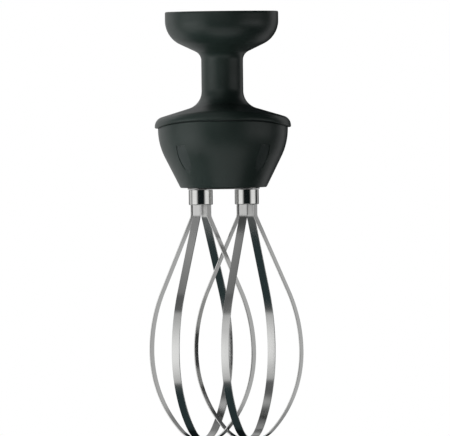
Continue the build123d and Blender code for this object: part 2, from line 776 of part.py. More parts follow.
# Pieces that carry and turn each whisk
for side, x in sides.items():
    angle = whisk_angles[side]

    with BuildPart() as upper_bush:
        with BuildSketch(Plane((x, 0, upper_boss_z))):
            Circle(upper_bush_radius)
            Circle(journal_radius + running_clearance, mode=Mode.SUBTRACT)
        extrude(amount=upper_bush_length - seat_clearance)
    save(upper_bush.part, f"{side}_upper_bush")

    with BuildPart() as lower_bush:
        with BuildSketch(upright_half_plane(x)):
            with BuildLine():
                Polyline(
                    (spindle_radius + running_clearance, seal_top_z + seat_clearance),
                    (lower_bush_radius, seal_top_z + seat_clearance),
                    (lower_bush_radius, lower_bush_top_z),
                    (lower_bush_radius + bush_flange_lip, lower_bush_top_z),
                    (lower_bush_radius + bush_flange_lip, flange_top_z),
                    (spindle_radius + running_clearance, flange_top_z),
                    close=True,
                )
            make_face()
        revolve(axis=vertical_axis(x))
    save(lower_bush.part, f"{side}_lower_bush")

    # Rotary lip seal: a stiff cup with a lip that runs on the spindle
    with BuildPart() as shaft_seal:
        lip_root = (spindle_radius + seal_radius) / 2
        with BuildSketch(upright_half_plane(x)):
            with BuildLine():
                Polyline(
                    (spindle_radius + running_clearance, casing_floor_z),
                    (seal_radius, casing_floor_z),
                    (seal_radius, seal_top_z),
                    (seal_radius - seal_lip_height, seal_top_z),
                    (seal_radius - seal_lip_height, casing_floor_z + 2 * seal_lip_height),
                    (lip_root, casing_floor_z + 2 * seal_lip_height),
                    (lip_root - seal_lip_height, seal_top_z - seal_lip_height),
                    (spindle_radius + running_clearance, seal_top_z - seal_lip_height),
                    close=True,
                )
            make_face()
        revolve(axis=vertical_axis(x))
    save(shaft_seal.part, f"{side}_shaft_seal")

    # Spindle: journal, keyed gear seat and a square plug for the whisk strips
    with BuildPart() as spindle:
        step_z = output_face_z + clip_thickness + end_float
        groove_radius = spindle_radius - clip_groove_depth
        with BuildSketch(upright_half_plane(x)):
            with BuildLine():
                Polyline(
                    (0, upper_bush_z - end_float),
                    (journal_radius, upper_bush_z - end_float),
                    (journal_radius, step_z + clip_thickness),
                    (spindle_radius, step_z + clip_thickness),
                    (spindle_radius, output_face_z + clip_thickness),
                    (groove_radius, output_face_z + clip_thickness),
                    (groove_radius, output_face_z),
                    (spindle_radius, output_face_z),
                    (spindle_radius, plug_top_z),
                    (0, plug_top_z),
                    close=True,
                )
            make_face()
        revolve(axis=vertical_axis(x))
        plug_turn = (cos(radians(angle)), sin(radians(angle)), 0)
        with BuildSketch(Plane((x, 0, ferrule_bottom_z + ferrule_wall), x_dir=plug_turn)):
            Rectangle(2 * plug_half_width, 2 * plug_half_width)
            Circle(ferrule_bore_radius - seat_clearance, mode=Mode.INTERSECT)
        extrude(amount=plug_top_z - ferrule_bottom_z - ferrule_wall)
        with BuildSketch(Plane((x, spindle_radius - key_height / 2, output_face_z))):
            Rectangle(key_width + 2 * seat_clearance, 2 * key_height, align=(Align.CENTER, Align.MIN))
        extrude(amount=-key_length - seat_clearance, mode=Mode.SUBTRACT)
    save(spindle.part, f"{side}_spindle")

    with BuildPart() as gear_key:
        key_inner = spindle_radius - key_height / 2 + seat_clearance
        with BuildSketch(Plane((x, key_inner, output_face_z))):
            Rectangle(key_width, key_height, align=(Align.CENTER, Align.MIN))
        extrude(amount=-key_length)
    save(gear_key.part, f"{side}_gear_key")

    with BuildPart() as gear:
        with BuildSketch(Plane((x, 0, output_bottom_z))):
            with BuildLine():
                Polyline(*gear_outline(output_teeth, output_module, gear_turns[side]), close=True)
            make_face()
        extrude(amount=output_face_width)
        for face_z, inwards in ((output_face_z, -1), (output_bottom_z, 1)):
            with BuildSketch(Plane((x, 0, face_z))):
                Circle(wheel_recess(output_teeth, output_module))
                Circle(output_hub_radius, mode=Mode.SUBTRACT)
            extrude(amount=inwards * wheel_web_depth, mode=Mode.SUBTRACT)
        with BuildSketch(Plane((x, 0, output_bottom_z))):
            Circle(spindle_radius + seat_clearance)
            with Locations((0, key_inner)):
                Rectangle(
                    key_width + 2 * seat_clearance,
                    key_height + seat_clearance,
                    align=(Align.CENTER, Align.MIN),
                )
        extrude(amount=output_face_width, mode=Mode.SUBTRACT)
    save(gear.part, f"{side}_gear")

    with BuildPart() as gear_clip:
        with BuildSketch(Plane((x, 0, output_face_z + seat_clearance))):
            Circle(spindle_radius + clip_overhang)
            Circle(groove_radius + seat_clearance, mode=Mode.SUBTRACT)
            with Locations((spindle_radius, 0)):
                Rectangle(2 * spindle_radius, clip_gap, mode=Mode.SUBTRACT)
        extrude(amount=clip_thickness - 2 * seat_clearance)
    save(gear_clip.part, f"{side}_gear_clip")

    # Sleeve that carries the gear's weight down to the lower bush
    with BuildPart() as spacer:
        with BuildSketch(Plane((x, 0, flange_top_z + end_float))):
            Circle(spindle_radius + spacer_wall)
            Circle(spindle_radius + seat_clearance, mode=Mode.SUBTRACT)
        extrude(amount=output_bottom_z - flange_top_z - end_float)
    save(spacer.part, f"{side}_spacer")

    # Polished ferrule: a drawn cup that clamps the strips on the spindle's plug
    with BuildPart() as ferrule:
        with BuildSketch(Plane((x, 0, ferrule_bottom_z))):
            Circle(ferrule_radius)
        extrude(amount=ferrule_height)
        chamfer(edges().filter_by(GeomType.CIRCLE), ferrule_edge)
        with BuildSketch(Plane((x, 0, ferrule_bottom_z))):
            Circle(ferrule_bore_radius)
        extrude(amount=ferrule_height - ferrule_top, mode=Mode.SUBTRACT)
        with BuildSketch(Plane((x, 0, ferrule_top_z))):
            Circle(spindle_radius + seat_clearance)
        extrude(amount=-ferrule_top, mode=Mode.SUBTRACT)
    save(ferrule.part, f"{side}_ferrule")

    # Two sprung strip loops, a quarter turn apart, one passing inside the other at the bottom
    for loop, turn, bottom_z in (
        ("outer_loop", 0, whisk_bottom_z + strip_thickness / 2),
        ("inner_loop", 90, whisk_bottom_z + 1.5 * strip_thickness + loop_gap),
    ):
        heading = radians(angle + turn)
        loop_plane = Plane(
            origin=(x, 0, 0),
            x_dir=(cos(heading), sin(heading), 0),
            z_dir=(sin(heading), -cos(heading), 0),
        )
        kink = radians(strip_kink_angle)
        join = radians(strip_join_angle)
        kink_reach = strip_kink_round * tan(kink / 2)
        upper_rise = strip_upper_round * (1 - cos(kink))
        flare_length = (whisk_radius - strip_root_radius - upper_rise) / sin(kink)
        widest_z = strip_kink_z - flare_length * cos(kink) - strip_upper_round * sin(kink)
        height = widest_z - bottom_z
        # Radii of the two arcs that turn the strip from vertical to level in the height left
        spare = sin(join) + cos(join) - 1
        belly_round = (sin(join) * height - (1 - cos(join)) * whisk_radius) / spare
        tip_round = (sin(join) * whisk_radius - (1 - cos(join)) * height) / spare
        with BuildPart() as strip:
            with BuildSketch(loop_plane):
                with BuildLine():
                    root = Line(
                        (strip_root_radius, strip_top_z),
                        (strip_root_radius, strip_kink_z + kink_reach),
                    )
                    bend = JernArc(root @ 1, root % 1, strip_kink_round, strip_kink_angle)
                    flare = Line(bend @ 1, bend @ 1 + (bend % 1) * (flare_length - kink_reach))
                    shoulder = JernArc(flare @ 1, flare % 1, strip_upper_round, -strip_kink_angle)
                    belly = JernArc(shoulder @ 1, shoulder % 1, belly_round, -strip_join_angle)
                    JernArc(belly @ 1, belly % 1, tip_round, strip_join_angle - 90)
                    mirror(about=Plane.YZ)
                    offset(amount=strip_thickness / 2, side=Side.BOTH)
                make_face()
            extrude(amount=strip_width / 2, both=True)
        save(strip.part, f"{side}_{loop}")
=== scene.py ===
import json
import math
import bpy
import bmesh
from mathutils import Matrix, Vector


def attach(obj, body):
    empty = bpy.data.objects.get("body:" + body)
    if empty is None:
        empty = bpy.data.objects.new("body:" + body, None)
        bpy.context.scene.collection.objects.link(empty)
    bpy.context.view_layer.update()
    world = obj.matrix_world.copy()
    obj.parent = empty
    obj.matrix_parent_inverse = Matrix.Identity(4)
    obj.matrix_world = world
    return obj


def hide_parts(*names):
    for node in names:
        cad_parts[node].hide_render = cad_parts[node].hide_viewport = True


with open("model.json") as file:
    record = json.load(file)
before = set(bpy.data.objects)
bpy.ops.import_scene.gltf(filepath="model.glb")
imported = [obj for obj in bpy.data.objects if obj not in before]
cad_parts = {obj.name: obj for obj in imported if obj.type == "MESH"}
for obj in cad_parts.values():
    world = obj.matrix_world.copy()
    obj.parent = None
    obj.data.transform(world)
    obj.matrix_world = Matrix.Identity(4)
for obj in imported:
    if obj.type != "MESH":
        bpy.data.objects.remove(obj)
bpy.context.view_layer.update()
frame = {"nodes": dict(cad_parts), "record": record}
mm = 0.001
print("frame loaded:", len(frame["nodes"]), "nodes")


# small tools shared by all pieces

def hexLinear(code):
    channels = [int(code[i:i + 2], 16) / 255 for i in (1, 3, 5)]
    return tuple(c / 12.92 if c <= 0.04045 else ((c + 0.055) / 1.055) ** 2.4 for c in channels) + (1.0,)


def addNode(tree, kind, settings=None, inputs=None):
    node = tree.nodes.new(kind)
    for key, value in (settings or {}).items():
        setattr(node, key, value)
    for key, value in (inputs or {}).items():
        if isinstance(value, bpy.types.NodeSocket):
            tree.links.new(value, node.inputs[key])
        else:
            node.inputs[key].default_value = value
    return node


def newMaterial(name):
    material = bpy.data.materials.new(name)
    material.use_nodes = True
    tree = material.node_tree
    tree.nodes.clear()
    return material, tree


def linkObject(name, mesh):
    piece = bpy.data.objects.new(name, mesh)
    bpy.context.scene.collection.objects.link(piece)
    return piece


def meshFrom(bm, name):
    mesh = bpy.data.meshes.new(name)
    bm.to_mesh(mesh)
    bm.free()
    return mesh


# plain mesh of an object with its modifiers applied; the object and its helpers are removed
def bakedMesh(holder, helpers=()):
    mesh = bpy.data.meshes.new_from_object(holder.evaluated_get(bpy.context.evaluated_depsgraph_get()))
    for used in (*helpers, holder):
        bpy.data.objects.remove(used)
    return mesh


def smoothMesh(mesh, sharpAngle=38):
    mesh.shade_smooth()
    mesh.set_sharp_from_angle(angle=math.radians(sharpAngle))


# normals weighted by area, so that a wide flat beside a small rounding mirrors as a flat
def trueFlats(mesh):
    holder = linkObject("shading", mesh)
    holder.modifiers.new("flats", "WEIGHTED_NORMAL").keep_sharp = True
    return bakedMesh(holder)


# outline corners are (radius, z, rounding) in mm; a rounding of 0 stays sharp
def roundedOutline(corners, closed=True, arcSteps=8, straightSteps=1):
    points = []
    ends = []
    count = len(corners)
    for i, (r, z, rounding) in enumerate(corners):
        here = Vector((r, z))
        ends.append(len(points))
        if rounding <= 0 or (not closed and i in (0, count - 1)):
            points.append(here)
            continue
        before = (Vector(corners[i - 1][:2]) - here).normalized()
        after = (Vector(corners[(i + 1) % count][:2]) - here).normalized()
        between = before.angle(after)
        reach = rounding / math.tan(between / 2)
        centre = here + (before + after).normalized() * (rounding / math.sin(between / 2))
        start = here + before * reach - centre
        end = here + after * reach - centre
        turn = start.angle_signed(end)
        steps = arcSteps if rounding > 2 else max(3, arcSteps // 3)
        for k in range(steps + 1):
            a = -turn * k / steps
            points.append(centre + Vector((
                start.x * math.cos(a) - start.y * math.sin(a),
                start.x * math.sin(a) + start.y * math.cos(a))))
    stepped = []
    for i, point in enumerate(points):
        if i in ends and (i or closed):
            before = points[i - 1]
            stepped.extend(before.lerp(point, k / straightSteps) for k in range(1, straightSteps))
        stepped.append(point)
    return stepped


# closed skin through one outline for each angle round a vertical axis; points at radius 0 become poles
def latheMesh(name, outlineAt, segments, axis=(0.0, 0.0), closed=True):
    bm = bmesh.new()
    columns = []
    for k in range(segments):
        turn = 2 * math.pi * k / segments
        columns.append([bm.verts.new((
            (axis[0] + p.x * math.cos(turn)) * mm, (axis[1] + p.x * math.sin(turn)) * mm, p.y * mm))
            for p in outlineAt(turn)])
    rows = len(columns[0])
    for k in range(segments):
        here, there = columns[k], columns[(k + 1) % segments]
        for i in range(rows if closed else rows - 1):
            j = (i + 1) % rows
            bm.faces.new((here[i], there[i], there[j], here[j]))
    bmesh.ops.remove_doubles(bm, verts=bm.verts, dist=1e-7)
    bmesh.ops.recalc_face_normals(bm, faces=bm.faces)
    return meshFrom(bm, name)


# upright round posts that cut or fill a moulding
def postMesh(name, places, radius, lowZ, highZ, segments=48):
    bm = bmesh.new()
    for x, y in places:
        made = bmesh.ops.create_cone(
            bm, cap_ends=True, segments=segments, radius1=radius * mm, radius2=radius * mm,
            depth=(highZ - lowZ) * mm)
        bmesh.ops.translate(bm, verts=made["verts"], vec=(x * mm, y * mm, (lowZ + highZ) / 2 * mm))
    return meshFrom(bm, name)


# blocks that follow a circle, to cut the bayonet slots
def sectorMesh(name, middles, halfWidth, innerRadius, outerRadius, lowZ, highZ, steps=8):
    bm = bmesh.new()
    section = ((innerRadius, lowZ), (outerRadius, lowZ), (outerRadius, highZ), (innerRadius, highZ))
    for middle in middles:
        rings = []
        for k in range(steps + 1):
            turn = middle + halfWidth * (2 * k / steps - 1)
            ahead, aside = math.cos(turn), math.sin(turn)
            rings.append([bm.verts.new((r * ahead * mm, r * aside * mm, z * mm)) for r, z in section])
        for a, b in zip(rings, rings[1:]):
            for i in range(len(section)):
                j = (i + 1) % len(section)
                bm.faces.new((a[i], a[j], b[j], b[i]))
        bm.faces.new(rings[0])
        bm.faces.new(rings[-1][::-1])
    bmesh.ops.recalc_face_normals(bm, faces=bm.faces)
    return meshFrom(bm, name)


def carve(mesh, steps):
    body = linkObject("carving", mesh)
    helpers = []
    for operation, cutter in steps:
        helper = linkObject("cutter", cutter)
        helpers.append(helper)
        modifier = body.modifiers.new(operation, "BOOLEAN")
        modifier.operation = operation
        modifier.solver = "EXACT"
        modifier.object = helper
    return bakedMesh(body, helpers)


def placePiece(name, mesh, body, slotName, material, *nodes):
    mesh.name = name
    mesh.materials.clear()
    mesh.materials.append(material)
    piece = linkObject(name, mesh)
    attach(piece, body)
    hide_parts(*nodes)
    return piece


# materials

# glass-filled nylon, spark-eroded mould: black with a grey-green bloom, satin, fine even grain
def makeNylon():
    look = {"body": "#1a2421", "bloom": "#212b28", "bloomMm": 26.0, "roughness": 0.35,
            "grainMm": 0.45, "grainDepthMm": 0.12, "grainLift": 0.22}
    material, tree = newMaterial("satin_black_nylon")
    place = addNode(tree, "ShaderNodeTexCoord")
    cloud = addNode(tree, "ShaderNodeTexNoise", None, {
        "Vector": place.outputs["Object"], "Scale": 1000 / look["bloomMm"],
        "Detail": 3.0, "Roughness": 0.55})
    tint = addNode(tree, "ShaderNodeMix", {"data_type": "RGBA"}, {
        "Factor": cloud.outputs["Fac"], 6: hexLinear(look["body"]), 7: hexLinear(look["bloom"])})
    # real grain is about 0.05 mm; it is drawn coarser so that it shows
    grain = addNode(tree, "ShaderNodeTexNoise", None, {
        "Vector": place.outputs["Object"], "Scale": 1000 / look["grainMm"],
        "Detail": 2.0, "Roughness": 0.6})
    bump = addNode(tree, "ShaderNodeBump", None, {
        "Strength": look["grainLift"], "Distance": look["grainDepthMm"] * mm,
        "Height": grain.outputs["Fac"]})
    gloss = addNode(tree, "ShaderNodeMapRange", None, {
        "Value": cloud.outputs["Fac"], "From Min": 0.3, "From Max": 0.7,
        "To Min": look["roughness"] - 0.03, "To Max": look["roughness"] + 0.05})
    shader = addNode(tree, "ShaderNodeBsdfPrincipled", None, {
        "Base Color": tint.outputs[2], "Roughness": gloss.outputs["Result"], "IOR": 1.46,
        "Normal": bump.outputs["Normal"]})
    addNode(tree, "ShaderNodeOutputMaterial", None, {"Surface": shader.outputs["BSDF"]})
    return material


# moulded rubber: matt, with a faint fleck
def makeRubber(name, body, fleckColour, fleckMm, roughness):
    material, tree = newMaterial(name)
    place = addNode(tree, "ShaderNodeTexCoord")
    fleck = addNode(tree, "ShaderNodeTexNoise", None, {
        "Vector": place.outputs["Object"], "Scale": 1000 / fleckMm, "Detail": 2.0})
    tint = addNode(tree, "ShaderNodeMix", {"data_type": "RGBA"}, {
        "Factor": fleck.outputs["Fac"], 6: hexLinear(body), 7: hexLinear(fleckColour)})
    shader = addNode(tree, "ShaderNodeBsdfPrincipled", None, {
        "Base Color": tint.outputs[2], "Roughness": roughness, "IOR": 1.50})
    addNode(tree, "ShaderNodeOutputMaterial", None, {"Surface": shader.outputs["BSDF"]})
    return material


# stainless spring strip, bright rolled: mirror-like with faint lines along its length
def makeStripSteel():
    look = {"bright": "#d6d6d4", "dull": "#c2c2c1", "lineMm": 0.5, "runMm": 60.0, "lineDepthMm": 0.05,
            "lineLift": 0.10, "roughness": 0.10, "rootSatin": 0.20,
            "satinFromMm": -240.0, "satinToMm": -210.0}
    material, tree = newMaterial("bright_rolled_spring_steel")
    along = addNode(tree, "ShaderNodeAttribute", {"attribute_name": "alongStrip"})
    across = addNode(tree, "ShaderNodeAttribute", {"attribute_name": "acrossStrip"})
    place = addNode(tree, "ShaderNodeCombineXYZ", None, {
        "X": across.outputs["Fac"], "Y": along.outputs["Fac"]})
    stretch = addNode(tree, "ShaderNodeMapping", None, {
        "Vector": place.outputs["Vector"], "Scale": (1000 / look["lineMm"], 1000 / look["runMm"], 1.0)})
    lines = addNode(tree, "ShaderNodeTexNoise", None, {
        "Vector": stretch.outputs["Vector"], "Scale": 1.0, "Detail": 3.0, "Roughness": 0.6})
    tint = addNode(tree, "ShaderNodeMix", {"data_type": "RGBA"}, {
        "Factor": lines.outputs["Fac"], 6: hexLinear(look["bright"]), 7: hexLinear(look["dull"])})
    gloss = addNode(tree, "ShaderNodeMapRange", None, {
        "Value": lines.outputs["Fac"],
        "To Min": look["roughness"] - 0.03, "To Max": look["roughness"] + 0.07})
    # satin towards the roots, where the strip is pressed and brazed into its ferrule
    spot = addNode(tree, "ShaderNodeSeparateXYZ", None, {
        "Vector": addNode(tree, "ShaderNodeTexCoord").outputs["Object"]})
    satin = addNode(tree, "ShaderNodeMapRange", {"interpolation_type": "SMOOTHSTEP"}, {
        "Value": spot.outputs["Z"], "From Min": look["satinFromMm"] * mm,
        "From Max": look["satinToMm"] * mm, "To Max": look["rootSatin"]})
    dulled = addNode(tree, "ShaderNodeMath", {"operation": "ADD"}, {
        0: gloss.outputs["Result"], 1: satin.outputs["Result"]})
    bump = addNode(tree, "ShaderNodeBump", None, {
        "Strength": look["lineLift"], "Distance": look["lineDepthMm"] * mm,
        "Height": lines.outputs["Fac"]})
    shader = addNode(tree, "ShaderNodeBsdfPrincipled", None, {
        "Base Color": tint.outputs[2], "Metallic": 1.0, "Roughness": dulled.outputs["Value"],
        "Normal": bump.outputs["Normal"]})
    addNode(tree, "ShaderNodeOutputMaterial", None, {"Surface": shader.outputs["BSDF"]})
    return material


# polished or turned metal: tool lines run round the vertical axis, and edge is its tint at a low angle
def makeTurnedMetal(name, bright, dull, edge, lineMm, roughness, lift):
    tool = {"aroundMm": 25.0, "depthMm": 0.05}
    material, tree = newMaterial(name)
    place = addNode(tree, "ShaderNodeTexCoord")
    squash = addNode(tree, "ShaderNodeMapping", None, {
        "Vector": place.outputs["Object"],
        "Scale": (1000 / tool["aroundMm"], 1000 / tool["aroundMm"], 1000 / lineMm)})
    lines = addNode(tree, "ShaderNodeTexNoise", None, {
        "Vector": squash.outputs["Vector"], "Scale": 1.0, "Detail": 3.0, "Roughness": 0.6})
    tint = addNode(tree, "ShaderNodeMix", {"data_type": "RGBA"}, {
        "Factor": lines.outputs["Fac"], 6: hexLinear(bright), 7: hexLinear(dull)})
    gloss = addNode(tree, "ShaderNodeMapRange", None, {
        "Value": lines.outputs["Fac"], "To Min": roughness * 0.7, "To Max": roughness * 1.4})
    bump = addNode(tree, "ShaderNodeBump", None, {
        "Strength": lift, "Distance": tool["depthMm"] * mm, "Height": lines.outputs["Fac"]})
    shader = addNode(tree, "ShaderNodeBsdfPrincipled", None, {
        "Base Color": tint.outputs[2], "Metallic": 1.0, "Specular Tint": hexLinear(edge),
        "Roughness": gloss.outputs["Result"], "Normal": bump.outputs["Normal"]})
    addNode(tree, "ShaderNodeOutputMaterial", None, {"Surface": shader.outputs["BSDF"]})
    return material


# moulded acetal: waxy off-white gear plastic
def makeAcetal():
    look = {"body": "#e4e0d4", "flow": "#d6d1c2", "flowMm": 8.0}
    material, tree = newMaterial("moulded_white_acetal")
    place = addNode(tree, "ShaderNodeTexCoord")
    flow = addNode(tree, "ShaderNodeTexNoise", None, {
        "Vector": place.outputs["Object"], "Scale": 1000 / look["flowMm"], "Detail": 2.0})
    tint = addNode(tree, "ShaderNodeMix", {"data_type": "RGBA"}, {
        "Factor": flow.outputs["Fac"], 6: hexLinear(look["body"]), 7: hexLinear(look["flow"])})
    shader = addNode(tree, "ShaderNodeBsdfPrincipled", None, {
        "Base Color": tint.outputs[2], "Roughness": 0.38, "IOR": 1.48})
    addNode(tree, "ShaderNodeOutputMaterial", None, {"Surface": shader.outputs["BSDF"]})
    return material


nylon = makeNylon()
rubber = makeRubber("matt_nitrile_rubber", "#191d1c", "#222726", 1.2, 0.7)
plugRubber = makeRubber("satin_plug_rubber", "#222a28", "#293130", 2.5, 0.42)
stripSteel = makeStripSteel()
ferruleSteel = makeTurnedMetal("polished_stainless", "#dcdcda", "#cacac8", "#6e6e6e", 0.6, 0.12, 0.01)
plainSteel = makeTurnedMetal("turned_mild_steel", "#b4b3b0", "#98979a", "#ffffff", 0.4, 0.28, 0.18)
bronze = makeTurnedMetal("sintered_bronze", "#b98a4e", "#8f6a3c", "#ffffff", 0.5, 0.42, 0.25)
acetal = makeAcetal()
slotFinish = {
    "black_housing": nylon, "black_rubber": rubber, "bright_chrome": ferruleSteel,
    "spring_steel": stripSteel, "plain_steel": plainSteel, "bronze": bronze, "gear_plastic": acetal}
# every CAD node gets the finish of its slot; the pieces inside are shown by their CAD mesh
for row in frame["record"]["subparts"]:
    for holder in frame["nodes"][row["node"]].material_slots:
        holder.material = slotFinish[row["material_slot"]]
print("materials:", len(slotFinish))


# motor cup, neck and lid: one moulding

housing = {
    "cupRadius": 56.7, "cupCornerZ": -25.4, "cupCornerRound": 26.0, "mouthRound": 1.4,
    "socketRadius": 51.5, "socketDepth": 16.0, "seatRadius": 46.0, "cupWall": 4.0,
    "neckRadius": 20.9, "neckCornerZ": -42.5, "neckTopRound": 10.0, "neckFootRound": 18.0,
    "lidRadius": 68.15, "lidApexZ": -86.4, "slopeSide": 0.304, "slopeFront": 0.20,
    "lidEdgeRound": 10.0, "edgeSpare": 0.4, "lidWall": 4.8, "cavityRadius": 58.0,
    "lidLipRound": 0.6, "lipSwell": 0.9, "lipStep": 0.05, "lipHang": 1.5, "lipPower": 10, "lipInner": 65.4,
    "seamZ": -108.5, "seamFlat": 20.0, "seamSweep": 185.0, "gasket": 1.0,
    "bossRadius": 17.0, "bearingRadius": 13.0, "boreRadius": 10.5,
    "cupBossZ": -28.4, "upperSeatZ": -39.0, "lowerSeatZ": -92.0, "lidBossZ": -102.4,
    "bearingRound": 0.5, "bossRound": 0.6, "bossFootRound": 1.5, "funnelRound": 2.0, "seatRound": 0.6,
    "socketRound": 0.5,
    "ribs": 6, "ribHalf": 1.25, "ribTopZ": -30.0, "ribSink": 1.5,
    "slots": 3, "slotDepth": 2.0, "slotHalf": 5.0, "trackHalf": 8.0, "trackTopZ": -8.5, "trackHeight": 4.5,
    "cutReach": 3.0, "cutRise": 2.0, "segments": 256}


# the seam is level in the middle and sweeps down towards both sides; drop lowers all of it
def seamHeight(x, drop=0.0):
    beyond = max(0.0, abs(x) - housing["seamFlat"])
    sweep = housing["seamSweep"]
    return housing["seamZ"] - drop - (sweep - math.sqrt(sweep * sweep - beyond * beyond))


def funnelSlope():
    return (housing["cupCornerZ"] - housing["neckCornerZ"]) / (housing["cupRadius"] - housing["neckRadius"])


# inner face of the cup's funnel
def funnelHeight(radius):
    rise = housing["cupWall"] * math.hypot(1, funnelSlope())
    return housing["cupCornerZ"] + rise - (housing["cupRadius"] - radius) * funnelSlope()


def housingOutline(turn):
    h = housing
    slope = math.hypot(h["slopeSide"] * math.cos(turn), h["slopeFront"] * math.sin(turn))

    def lidZ(radius):
        return h["lidApexZ"] - slope * radius

    def lipZ(radius):
        return seamHeight(radius * math.cos(turn))

    # towards both sides the lip hangs lower and gets thicker and rounder
    sideways = math.cos(turn) ** h["lipPower"]
    lipLow = lipZ(h["lidRadius"]) - h["lipStep"] - h["lipHang"] * sideways
    lipRound = h["lidLipRound"] + h["lipSwell"] * sideways
    # the edge's rounding ends above the lip's
    edgeRoom = lidZ(h["lidRadius"]) - lipLow - lipRound - h["edgeSpare"]
    edgeRound = min(h["lidEdgeRound"], edgeRoom * math.tan(math.pi / 4 + math.atan(slope) / 2))
    corners = [
        (h["bearingRadius"], h["lidBossZ"], 0.0),
        (h["bearingRadius"], h["lowerSeatZ"], 0.0),
        (h["boreRadius"], h["lowerSeatZ"], 0.0),
        (h["boreRadius"], h["upperSeatZ"], 0.0),
        (h["bearingRadius"], h["upperSeatZ"], 0.0),
        (h["bearingRadius"], h["cupBossZ"], h["bearingRound"]),
        (h["bossRadius"], h["cupBossZ"], h["bossRound"]),
        (h["bossRadius"], funnelHeight(h["bossRadius"]), h["bossFootRound"]),
        (h["seatRadius"], funnelHeight(h["seatRadius"]), h["funnelRound"]),
        (h["seatRadius"], -h["socketDepth"], h["seatRound"]),
        (h["socketRadius"], -h["socketDepth"], h["socketRound"]),
        (h["socketRadius"], 0.0, h["socketRound"]),
        (h["cupRadius"], 0.0, h["mouthRound"]),
        (h["cupRadius"], h["cupCornerZ"], h["cupCornerRound"]),
        (h["neckRadius"], h["neckCornerZ"], h["neckTopRound"]),
        (h["neckRadius"], lidZ(h["neckRadius"]), h["neckFootRound"]),
        (h["lidRadius"], lidZ(h["lidRadius"]), edgeRound),
        (h["lidRadius"], lipLow, lipRound),
        (h["lipInner"], lipLow, 0.0),
        (h["lipInner"], lipZ(h["lipInner"]), 0.0),
        (h["cavityRadius"], lipZ(h["cavityRadius"]), 0.0),
        (h["cavityRadius"], lidZ(h["cavityRadius"]) - h["lidWall"], 0.0),
        (h["bossRadius"], lidZ(h["bossRadius"]) - h["lidWall"], 0.0),
        (h["bossRadius"], h["lidBossZ"], 0.0)]
    return roundedOutline(corners, arcSteps=14, straightSteps=4)


def buildHousing():
    h = housing
    skin = latheMesh("housingSkin", housingOutline, h["segments"])
    slotTurns = [2 * math.pi * k / h["slots"] for k in range(h["slots"])]
    trackShift = (h["slotHalf"] + h["trackHalf"]) / h["socketRadius"]
    innerRadius, slotRadius = h["socketRadius"] - h["cutReach"], h["socketRadius"] + h["slotDepth"]
    trackLow = h["trackTopZ"] - h["trackHeight"]
    entry = sectorMesh(
        "slotEntry", slotTurns, h["slotHalf"] / h["socketRadius"],
        innerRadius, slotRadius, trackLow, h["cutRise"])
    track = sectorMesh(
        "slotTrack", [t + trackShift for t in slotTurns], h["trackHalf"] / h["socketRadius"],
        innerRadius, slotRadius, trackLow, h["trackTopZ"])
    mesh = carve(skin, [("DIFFERENCE", entry), ("DIFFERENCE", track)])
    smoothMesh(mesh)
    return mesh


def buildCupRibs():
    h = housing
    bm = bmesh.new()
    inner = h["bossRadius"] - h["ribSink"]
    outer = h["cupRadius"] - (funnelHeight(h["cupRadius"]) - h["ribTopZ"]) / funnelSlope() + h["ribSink"]
    shape = [(inner, h["ribTopZ"]), (inner, funnelHeight(inner) - h["ribSink"]), (outer, h["ribTopZ"])]
    for k in range(h["ribs"]):
        turn = Matrix.Rotation(2 * math.pi * k / h["ribs"], 4, "Z")
        front, back = (
            [bm.verts.new(turn @ Vector((r * mm, side * h["ribHalf"] * mm, z * mm))) for r, z in shape]
            for side in (-1, 1))
        bm.faces.new(front)
        bm.faces.new(back[::-1])
        for i in range(len(shape)):
            j = (i + 1) % len(shape)
            bm.faces.new((front[j], front[i], back[i], back[j]))
    bmesh.ops.recalc_face_normals(bm, faces=bm.faces)
    return meshFrom(bm, "cupRibs")


housingMesh = carve(buildHousing(), [("UNION", buildCupRibs())])
smoothMesh(housingMesh)
placePiece("upperHousing", housingMesh, "housing", "black_housing", nylon, "upper_housing")
print("housing:", len(housingMesh.polygons), "faces")


# bowl of the gear casing, with four screw pockets closed by rubber plugs

casing = {
    "radius": 65.0, "cornerZ": -132.0, "cornerRound": 64.0, "taper": 0.5, "floorZ": -176.0,
    "wall": 4.0, "floor": 6.0, "footRound": 2.0, "rimInner": 57.0, "topRound": 0.6,
    "screwX": 39.3, "screwY": 42.7, "pocketRadius": 7.2, "pocketWall": 3.0, "pocketTopZ": -133.5,
    "plugGap": 0.15, "plugInset": 0.5, "pocketSegments": 96,
    "sealRadius": 10.05, "spacing": 46.0, "segments": 256}
whiskAxes = {"left": -casing["spacing"] / 2, "right": casing["spacing"] / 2}


# side of the bowl, moved inwards by a given inset; topZ gives the height of its rim at a radius
def bowlOutline(topZ, inset, floorZ, topRound, footRound):
    c = casing
    across = inset * math.hypot(1, c["taper"])
    side = c["radius"] - inset
    footRadius = c["radius"] - across - c["taper"] * (c["cornerZ"] - floorZ)
    corners = [
        (0.0, topZ(c["rimInner"]), 0.0), (c["rimInner"], topZ(c["rimInner"]), 0.0),
        (side, topZ(side), topRound),
        (side, c["cornerZ"] + (across - inset) / c["taper"], c["cornerRound"] - inset),
        (footRadius, floorZ, footRound), (0.0, floorZ, 0.0)]
    return roundedOutline(corners, closed=False, arcSteps=24, straightSteps=8)


def casingOuter(turn):
    def topZ(radius):
        return seamHeight(radius * math.cos(turn), housing["gasket"])

    return bowlOutline(topZ, 0.0, casing["floorZ"], casing["topRound"], casing["footRound"])


def casingInner(turn):
    floorZ = casing["floorZ"] + casing["floor"]
    return bowlOutline(lambda radius: housing["lidApexZ"], casing["wall"], floorZ, 0.0, 0.0)


def plugSkin(turn):
    return bowlOutline(lambda radius: housing["seamZ"], casing["plugInset"], casing["floorZ"], 0.0, 0.0)


